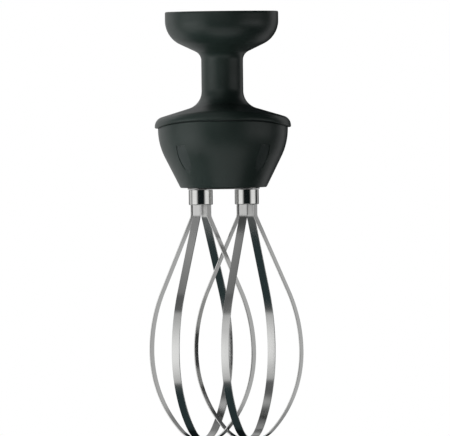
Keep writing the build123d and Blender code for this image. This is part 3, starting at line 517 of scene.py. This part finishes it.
def buildCasing(places):
    c = casing
    low, high = c["floorZ"] - c["wall"], c["pocketTopZ"]
    outer = latheMesh("casingOuter", casingOuter, c["segments"], closed=False)
    inner = latheMesh("casingInner", casingInner, c["segments"], closed=False)
    postRadius = c["pocketRadius"] + c["pocketWall"]
    posts = postMesh("pocketPosts", places, postRadius, low, high + c["pocketWall"])
    pockets = postMesh("screwPockets", places, c["pocketRadius"], low, high, c["pocketSegments"])
    axes = [(x, 0.0) for x in whiskAxes.values()]
    holes = postMesh("sealHoles", axes, c["sealRadius"], low, c["floorZ"] + 2 * c["floor"])
    hollow = carve(inner, [("DIFFERENCE", posts)])
    mesh = carve(outer, [("DIFFERENCE", hollow), ("DIFFERENCE", pockets), ("DIFFERENCE", holes)])
    smoothMesh(mesh)
    return mesh


def buildPlug(place):
    c = casing
    skin = latheMesh("plugSkin", plugSkin, c["segments"], closed=False)
    radius, topZ = c["pocketRadius"] - c["plugGap"], c["pocketTopZ"] - c["plugGap"]
    post = postMesh("plugPost", [place], radius, c["floorZ"], topZ, c["pocketSegments"])
    mesh = carve(skin, [("INTERSECT", post)])
    smoothMesh(mesh)
    return mesh


screwCorners = {
    end + "_" + side: (x * casing["screwX"], y * casing["screwY"])
    for end, y in (("front", -1), ("back", 1)) for side, x in (("left", -1), ("right", 1))}
casingMesh = buildCasing(list(screwCorners.values()))
placePiece("gearCasing", casingMesh, "housing", "black_housing", nylon, "gear_casing")
print("casing:", len(casingMesh.polygons), "faces")
for corner, place in screwCorners.items():
    plugMesh = buildPlug(place)
    placePiece(corner + "Plug", plugMesh, "housing", "black_rubber", plugRubber, corner + "_screw_plug")
print("plugs done")


# gasket ring in the seam

gasket = {"innerRadius": 58.5, "outerRadius": 64.2, "round": 0.35, "segments": 256}


def gasketOutline(turn):
    g = gasket
    low, high = housing["gasket"], 0.0
    corners = [
        (radius, seamHeight(radius * math.cos(turn), drop), g["round"])
        for radius, drop in ((g["innerRadius"], high), (g["outerRadius"], high),
                             (g["outerRadius"], low), (g["innerRadius"], low))]
    return roundedOutline(corners, arcSteps=9)


gasketMesh = latheMesh("lidGasket", gasketOutline, gasket["segments"])
smoothMesh(gasketMesh)
placePiece("lidGasket", gasketMesh, "housing", "black_rubber", rubber, "lid_gasket")
print("gasket done")


# ferrules: drawn steel cups, polished

ferrule = {
    "radius": 12.0, "topZ": -178.0, "height": 15.0, "wall": 1.3, "top": 1.5, "holeRadius": 6.05,
    "round": 0.7, "rimRound": 0.3, "boreRound": 0.4, "holeRound": 0.2, "segments": 128}


def ferruleOutline(turn):
    f = ferrule
    bottomZ = f["topZ"] - f["height"]
    bore = f["radius"] - f["wall"]
    corners = [
        (f["holeRadius"], f["topZ"], f["holeRound"]), (f["radius"], f["topZ"], f["rimRound"]),
        (f["radius"], bottomZ, f["round"]), (bore, bottomZ, f["boreRound"]),
        (bore, f["topZ"] - f["top"], f["boreRound"]),
        (f["holeRadius"], f["topZ"] - f["top"], f["holeRound"])]
    return roundedOutline(corners, arcSteps=12)


for side, x in whiskAxes.items():
    mesh = latheMesh(side + "Ferrule", ferruleOutline, ferrule["segments"], (x, 0.0))
    smoothMesh(mesh)
    mesh = trueFlats(mesh)
    placePiece(side + "Ferrule", mesh, side + "_whisk", "bright_chrome", ferruleSteel, side + "_ferrule")
print("ferrules done")


# whisk strips: a path in a plane through the whisk's axis, skinned by a node tree

strip = {
    "width": 8.5, "thickness": 1.2, "edge": 0.3, "rootRadius": 9.0, "topZ": -182.0, "kinkZ": -204.5,
    "kinkAngle": 25.0, "kinkRound": 8.0, "upperRound": 142.0, "joinAngle": 45.0, "whiskRadius": 57.5,
    "bottomZ": -430.0, "loopGap": 0.4, "leftAngle": -27.5, "rightAngle": -24.0,
    "kinkSteps": 8, "flareSteps": 12, "upperSteps": 24, "bellySteps": 32, "sharpAngle": 50}


# adds an arc to a path that runs along heading, and gives the new heading
def arcPoints(points, heading, radius, sweep, steps):
    start = points[-1]
    side = 1 if sweep > 0 else -1
    centre = start + Vector((-math.sin(heading), math.cos(heading))) * radius * side
    for k in range(1, steps + 1):
        a = heading + sweep * k / steps
        points.append(centre + Vector((math.sin(a), -math.cos(a))) * radius * side)
    return heading + sweep


# root, kink, straight flare, then three arcs down to the tip, and the same up the other side
def stripPath(bottomZ):
    s = strip
    kink, join = math.radians(s["kinkAngle"]), math.radians(s["joinAngle"])
    kinkReach = s["kinkRound"] * math.tan(kink / 2)
    flare = (s["whiskRadius"] - s["rootRadius"] - s["upperRound"] * (1 - math.cos(kink))) / math.sin(kink)
    widestZ = s["kinkZ"] - flare * math.cos(kink) - s["upperRound"] * math.sin(kink)
    height = widestZ - bottomZ
    spare = math.sin(join) + math.cos(join) - 1
    belly = (math.sin(join) * height - (1 - math.cos(join)) * s["whiskRadius"]) / spare
    tip = (math.sin(join) * s["whiskRadius"] - (1 - math.cos(join)) * height) / spare
    points = [Vector((s["rootRadius"], s["topZ"])), Vector((s["rootRadius"], s["kinkZ"] + kinkReach))]
    heading = arcPoints(points, -math.pi / 2, s["kinkRound"], kink, s["kinkSteps"])
    run = Vector((math.cos(heading), math.sin(heading))) * (flare - kinkReach)
    start = points[-1].copy()
    points.extend(start + run * k / s["flareSteps"] for k in range(1, s["flareSteps"] + 1))
    heading = arcPoints(points, heading, s["upperRound"], -kink, s["upperSteps"])
    heading = arcPoints(points, heading, belly, -join, s["bellySteps"])
    arcPoints(points, heading, tip, join - math.pi / 2, s["bellySteps"])
    return points + [Vector((-p.x, p.y)) for p in reversed(points[:-1])]


def stripTree():
    tree = bpy.data.node_groups.new("stripFromPath", "GeometryNodeTree")
    face = tree.interface
    face.new_socket("Geometry", in_out="INPUT", socket_type="NodeSocketGeometry")
    for label in ("Width", "Thickness", "Edge"):
        face.new_socket(label, in_out="INPUT", socket_type="NodeSocketFloat")
    face.new_socket("Side", in_out="INPUT", socket_type="NodeSocketVector")
    face.new_socket("Finish", in_out="INPUT", socket_type="NodeSocketMaterial")
    face.new_socket("Geometry", in_out="OUTPUT", socket_type="NodeSocketGeometry")
    given = addNode(tree, "NodeGroupInput")
    aimed = addNode(tree, "GeometryNodeSetCurveNormal", {"mode": "FREE"}, {
        "Curve": given.outputs["Geometry"], "Normal": given.outputs["Side"]})
    run = addNode(tree, "GeometryNodeSplineParameter")
    measured = addNode(tree, "GeometryNodeStoreNamedAttribute", {"data_type": "FLOAT", "domain": "POINT"}, {
        "Geometry": aimed.outputs["Curve"], "Name": "alongStrip", "Value": run.outputs["Length"]})
    section = addNode(tree, "GeometryNodeCurvePrimitiveQuadrilateral", None, {
        "Width": given.outputs["Width"], "Height": given.outputs["Thickness"]})
    rounded = addNode(tree, "GeometryNodeFilletCurve", {"mode": "POLY"}, {
        "Curve": section.outputs["Curve"], "Count": 3, "Radius": given.outputs["Edge"]})
    spot = addNode(tree, "GeometryNodeInputPosition")
    split = addNode(tree, "ShaderNodeSeparateXYZ", None, {"Vector": spot.outputs["Position"]})
    ruled = addNode(tree, "GeometryNodeStoreNamedAttribute", {"data_type": "FLOAT", "domain": "POINT"}, {
        "Geometry": rounded.outputs["Curve"], "Name": "acrossStrip", "Value": split.outputs["X"]})
    skin = addNode(tree, "GeometryNodeCurveToMesh", None, {
        "Curve": measured.outputs["Geometry"], "Profile Curve": ruled.outputs["Geometry"],
        "Fill Caps": True})
    solid = addNode(tree, "GeometryNodeRealizeInstances", None, {"Geometry": skin.outputs["Mesh"]})
    dressed = addNode(tree, "GeometryNodeSetMaterial", None, {
        "Geometry": solid.outputs["Geometry"], "Material": given.outputs["Finish"]})
    addNode(tree, "NodeGroupOutput", None, {"Geometry": dressed.outputs["Geometry"]})
    return tree


def buildStrip(name, tree, axisX, angle, bottomZ):
    s = strip
    heading = math.radians(angle)
    curve = bpy.data.curves.new(name + "Path", "CURVE")
    curve.dimensions = "3D"
    path = stripPath(bottomZ)
    spline = curve.splines.new("POLY")
    spline.points.add(len(path) - 1)
    for point, p in zip(spline.points, path):
        point.co = ((axisX + p.x * math.cos(heading)) * mm, p.x * math.sin(heading) * mm, p.y * mm, 1.0)
    guide = linkObject(name + "Path", curve)
    modifier = guide.modifiers.new("strip", "NODES")
    modifier.node_group = tree
    values = {
        "Width": s["width"] * mm, "Thickness": s["thickness"] * mm, "Edge": s["edge"] * mm,
        "Side": (-math.sin(heading), math.cos(heading), 0.0), "Finish": stripSteel}
    for item in tree.interface.items_tree:
        if item.in_out == "INPUT" and item.name in values:
            modifier[item.identifier] = values[item.name]
    mesh = bakedMesh(guide)
    smoothMesh(mesh, s["sharpAngle"])
    return trueFlats(mesh)


stripNodes = stripTree()
for side, x in whiskAxes.items():
    angle = strip[side + "Angle"]
    for nested, (loop, turn) in enumerate((("Outer", 0), ("Inner", 90))):
        lift = nested * (strip["thickness"] + strip["loopGap"])
        bottomZ = strip["bottomZ"] + strip["thickness"] / 2 + lift
        mesh = buildStrip(side + loop + "Loop", stripNodes, x, angle + turn, bottomZ)
        placePiece(
            side + loop + "Loop", mesh, side + "_whisk", "spring_steel", stripSteel,
            side + "_" + loop.lower() + "_loop")
        print(side, loop, "strip:", len(mesh.polygons), "faces")


# plate under the casing

plate = {
    "length": 72.0, "width": 28.0, "topZ": -176.0, "thickness": 1.6, "round": 0.35, "holeRadius": 6.4,
    "cutSpare": 4.0, "arcSteps": 40}


def buildPlate():
    p = plate
    half = p["length"] / 2 - p["width"] / 2
    outline = []
    for centre, start in ((half, -math.pi / 2), (-half, math.pi / 2)):
        for k in range(p["arcSteps"] + 1):
            a = start + math.pi * k / p["arcSteps"]
            outline.append((centre + p["width"] / 2 * math.cos(a), p["width"] / 2 * math.sin(a)))
    bm = bmesh.new()
    bottomZ = (p["topZ"] - p["thickness"]) * mm
    face = bm.faces.new([bm.verts.new((x * mm, y * mm, bottomZ)) for x, y in outline])
    made = bmesh.ops.extrude_face_region(bm, geom=[face])
    top = [v for v in made["geom"] if isinstance(v, bmesh.types.BMVert)]
    bmesh.ops.translate(bm, verts=top, vec=(0, 0, p["thickness"] * mm))
    bmesh.ops.recalc_face_normals(bm, faces=bm.faces)
    rims = [e for e in bm.edges if abs(e.verts[0].co.z - e.verts[1].co.z) < 1e-7]
    bmesh.ops.bevel(bm, geom=rims, offset=p["round"] * mm, segments=3, affect="EDGES", profile=0.5)
    holes = postMesh(
        "plateHoles", [(x, 0.0) for x in whiskAxes.values()], p["holeRadius"],
        p["topZ"] - p["cutSpare"], p["topZ"] + p["cutSpare"])
    mesh = carve(meshFrom(bm, "plate"), [("DIFFERENCE", holes)])
    smoothMesh(mesh)
    return mesh


placePiece("bottomPlate", buildPlate(), "housing", "plain_steel", plainSteel, "bottom_plate")
print("plate done")


# studio: camera, floor, lamps and a tent that the gloss reflects; lengths are in metres

studio = {
    "distance": 8.0, "imageWidth": 0.450, "centreX": 0.001, "centreZ": -0.2065, "cameraZ": -0.100,
    "rollDegrees": 0.70, "sensorMm": 36.0, "clipEnd": 40.0, "paper": "#f2f2f0", "floorZ": -0.62,
    "floorRadius": 4.2, "floorSegments": 96, "floorGlow": 0.45, "fill": 0.11}
# azimuth and elevation of a lamp are in degrees, as in the tent below
lamps = {
    "leftLamp": {"azimuth": -66, "elevation": -8, "distance": 2.2, "size": 1.2, "light": 1.05},
    "frontLamp": {"azimuth": 8, "elevation": -5, "distance": 2.4, "size": 1.0, "light": 0.22},
    "lowLamp": {"azimuth": -42, "elevation": -35, "distance": 0.7, "size": 0.4, "light": 0.40},
    "topLamp": {"azimuth": -120, "elevation": 72, "distance": 2.6, "size": 2.0, "light": 0.35}}


def addCamera():
    lens = bpy.data.cameras.new("photoCamera")
    lens.sensor_width = studio["sensorMm"]
    rise = studio["cameraZ"] - studio["centreZ"]
    lens.lens = studio["sensorMm"] * math.hypot(studio["distance"], rise) / studio["imageWidth"]
    lens.clip_end = studio["clipEnd"]
    camera = linkObject("photoCamera", lens)
    pitch = Matrix.Rotation(math.radians(90) - math.atan(rise / studio["distance"]), 4, "X")
    roll = Matrix.Rotation(math.radians(-studio["rollDegrees"]), 4, "Z")
    place = Matrix.Translation((studio["centreX"], -studio["distance"], studio["cameraZ"]))
    camera.matrix_world = place @ pitch @ roll
    bpy.context.scene.camera = camera


# light is what a white card facing the lamp would send back at the object's middle
def addLamp(name, settings):
    lamp = bpy.data.lights.new(name, "AREA")
    lamp.shape = "DISK"
    lamp.size = settings["size"]
    lamp.energy = settings["light"] * (math.pi * settings["distance"]) ** 2
    turn, climb = math.radians(settings["azimuth"]), math.radians(settings["elevation"])
    away = Vector((math.sin(turn) * math.cos(climb), -math.cos(turn) * math.cos(climb), math.sin(climb)))
    holder = linkObject(name, lamp)
    holder.location = Vector((0.0, 0.0, studio["centreZ"])) + away * settings["distance"]
    holder.rotation_euler = away.to_track_quat("Z", "Y").to_euler()
    holder.visible_camera = False
    holder.visible_glossy = False


def addFloor():
    material, tree = newMaterial("pale_paper_floor")
    paper = addNode(tree, "ShaderNodeBsdfDiffuse", None, {
        "Color": hexLinear(studio["paper"]), "Roughness": 0.5})
    path = addNode(tree, "ShaderNodeLightPath")
    lift = addNode(tree, "ShaderNodeMath", {"operation": "MULTIPLY"}, {
        0: path.outputs["Is Camera Ray"], 1: studio["floorGlow"]})
    glow = addNode(tree, "ShaderNodeEmission", None, {"Strength": lift.outputs["Value"]})
    both = addNode(tree, "ShaderNodeAddShader", None, {
        0: paper.outputs["BSDF"], 1: glow.outputs["Emission"]})
    addNode(tree, "ShaderNodeOutputMaterial", None, {"Surface": both.outputs["Shader"]})
    bm = bmesh.new()
    bmesh.ops.create_circle(
        bm, cap_ends=True, segments=studio["floorSegments"], radius=studio["floorRadius"])
    bmesh.ops.translate(bm, verts=bm.verts, vec=(0.0, 0.0, studio["floorZ"]))
    mesh = meshFrom(bm, "floor")
    mesh.materials.append(material)
    floor = linkObject("floor", mesh)
    floor.visible_glossy = False


# white to the camera, metal and glass; a plain fill for the rest
def addWorld():
    world = bpy.data.worlds.new("studioWorld")
    bpy.context.scene.world = world
    world.use_nodes = True
    tree = world.node_tree
    tree.nodes.clear()
    path = addNode(tree, "ShaderNodeLightPath")
    seen = addNode(tree, "ShaderNodeMath", {"operation": "MAXIMUM"}, {
        0: path.outputs["Is Camera Ray"], 1: path.outputs["Is Glossy Ray"]})
    seen = addNode(tree, "ShaderNodeMath", {"operation": "MAXIMUM"}, {
        0: seen.outputs["Value"], 1: path.outputs["Is Transmission Ray"]})
    white = addNode(tree, "ShaderNodeBackground", None, {"Color": (1, 1, 1, 1), "Strength": 1.0})
    fill = addNode(tree, "ShaderNodeBackground", None, {
        "Color": (1, 1, 1, 1), "Strength": studio["fill"]})
    mix = addNode(tree, "ShaderNodeMixShader", None, {
        "Fac": seen.outputs["Value"], 1: fill.outputs["Background"], 2: white.outputs["Background"]})
    addNode(tree, "ShaderNodeOutputWorld", None, {"Surface": mix.outputs["Shader"]})


# round tent of diffusing cloth; each panel glows over a span of azimuth and elevation, in degrees
# azimuth 0 is towards the camera and 90 to its right; a panel fades out over its soft edge
# behind the panels the cloth has a dim tinted shade, stronger low on the left (lowerShade)
tent = {"radius": 1.2, "centreZ": -0.2, "segments": 64, "rings": 32, "shade": "#86a4a8", "base": 0.03}
lowerShade = {"azimuth": (-115, -35), "elevation": (-80, -38), "soft": (20, 6), "glow": 0.10}
tentPanels = {
    "leftBoxCloth": {"azimuth": (-92, -34), "elevation": (-35, 22), "soft": (24, 3), "glow": 0.50},
    "leftBoxHeart": {"azimuth": (-88, -38), "elevation": (-28, 9), "soft": (24, 34), "glow": 0.64},
    "upperHaze": {"azimuth": (-150, -15), "elevation": (22, 75), "soft": (30, 8), "glow": 0.13},
    "upperGlow": {"azimuth": (-150, -60), "elevation": (38, 48), "soft": (20, 10), "glow": 0.45},
    "backLeft": {"azimuth": (-176, -102), "elevation": (-40, 50), "soft": (18, 30), "glow": 0.52},
    "leftFlank": {"azimuth": (-134, -98), "elevation": (-40, 40), "soft": (14, 20), "glow": 0.25},
    "topLeft": {"azimuth": (-180, -95), "elevation": (64, 110), "soft": (30, 20), "glow": 0.45},
    "topFront": {"azimuth": (-60, 2), "elevation": (44, 84), "soft": (24, 12), "glow": 0.26},
    "rightStrip": {"azimuth": (39, 90), "elevation": (-9, 9), "soft": (24, 6), "glow": 1.0},
    "backRight": {"azimuth": (117, 141), "elevation": (-36, 36), "soft": (8, 12), "glow": 0.58},
    "backRightHigh": {"azimuth": (141, 160), "elevation": (15, 36), "soft": (8, 8), "glow": 0.30},
    "backRightLow": {"azimuth": (141, 160), "elevation": (-36, -15), "soft": (8, 8), "glow": 0.36},
    "frontUpper": {"azimuth": (-44, 8), "elevation": (12, 34), "soft": (20, 8), "glow": 0.52},
    "frontBounce": {"azimuth": (-35, 52), "elevation": (-65, -26), "soft": (16, 12), "glow": 0.62},
    "floorGlow": {"azimuth": (-30, 40), "elevation": (-110, -58), "soft": (20, 12), "glow": 0.35}}


# azimuth wraps round at 180 degrees; elevation stays within its span
def panelGlow(tree, angles, panel):
    fades = []
    for name, soft, wrap, level in zip(angles, panel["soft"], (180.0, 360.0), (panel["glow"], 1.0)):
        low, high = panel[name]
        aside = addNode(tree, "ShaderNodeMath", {"operation": "SUBTRACT"}, {
            0: angles[name], 1: (low + high) / 2})
        apart = addNode(tree, "ShaderNodeMath", {"operation": "PINGPONG"}, {
            0: aside.outputs["Value"], 1: wrap})
        half = (high - low) / 2
        fades.append(addNode(tree, "ShaderNodeMapRange", {"interpolation_type": "SMOOTHSTEP"}, {
            "Value": apart.outputs["Value"], "From Min": half - soft / 2, "From Max": half + soft / 2,
            "To Min": level, "To Max": 0.0}))
    glow = addNode(tree, "ShaderNodeMath", {"operation": "MULTIPLY"}, {
        0: fades[0].outputs["Result"], 1: fades[1].outputs["Result"]})
    return glow.outputs["Value"]


def makeTentCloth():
    material, tree = newMaterial("lit_tent_cloth")
    place = addNode(tree, "ShaderNodeTexCoord")
    spot = addNode(tree, "ShaderNodeSeparateXYZ", None, {"Vector": place.outputs["Object"]})
    back = addNode(tree, "ShaderNodeMath", {"operation": "MULTIPLY"}, {0: spot.outputs["Y"], 1: -1.0})
    swing = addNode(tree, "ShaderNodeMath", {"operation": "ARCTAN2"}, {
        0: spot.outputs["X"], 1: back.outputs["Value"]})
    height = addNode(tree, "ShaderNodeMath", {"operation": "DIVIDE"}, {
        0: spot.outputs["Z"], 1: tent["radius"]})
    climb = addNode(tree, "ShaderNodeMath", {"operation": "ARCSINE"}, {0: height.outputs["Value"]})
    angles = {}
    for name, node in (("azimuth", swing), ("elevation", climb)):
        turned = addNode(tree, "ShaderNodeMath", {"operation": "DEGREES"}, {0: node.outputs["Value"]})
        angles[name] = turned.outputs["Value"]
    total = 0.0
    for panel in tentPanels.values():
        total = addNode(tree, "ShaderNodeMath", {"operation": "ADD"}, {
            0: total, 1: panelGlow(tree, angles, panel)}).outputs["Value"]
    glow = addNode(tree, "ShaderNodeEmission", None, {"Strength": total})
    dim = addNode(tree, "ShaderNodeMath", {"operation": "ADD"}, {
        0: tent["base"], 1: panelGlow(tree, angles, lowerShade)})
    shade = addNode(tree, "ShaderNodeEmission", None, {
        "Color": hexLinear(tent["shade"]), "Strength": dim.outputs["Value"]})
    cloth = addNode(tree, "ShaderNodeAddShader", None, {
        0: glow.outputs["Emission"], 1: shade.outputs["Emission"]})
    addNode(tree, "ShaderNodeOutputMaterial", None, {"Surface": cloth.outputs["Shader"]})
    return material


def addTent():
    bm = bmesh.new()
    bmesh.ops.create_uvsphere(
        bm, u_segments=tent["segments"], v_segments=tent["rings"], radius=tent["radius"])
    mesh = meshFrom(bm, "lightTent")
    mesh.materials.append(makeTentCloth())
    cloth = linkObject("lightTent", mesh)
    cloth.location = (0.0, 0.0, tent["centreZ"])
    for ray in ("camera", "diffuse", "transmission", "shadow", "volume_scatter"):
        setattr(cloth, "visible_" + ray, False)


addCamera()
addWorld()
addFloor()
for name, settings in lamps.items():
    addLamp(name, settings)
addTent()
bpy.context.scene.view_settings.view_transform = "Standard"
print("studio ready")
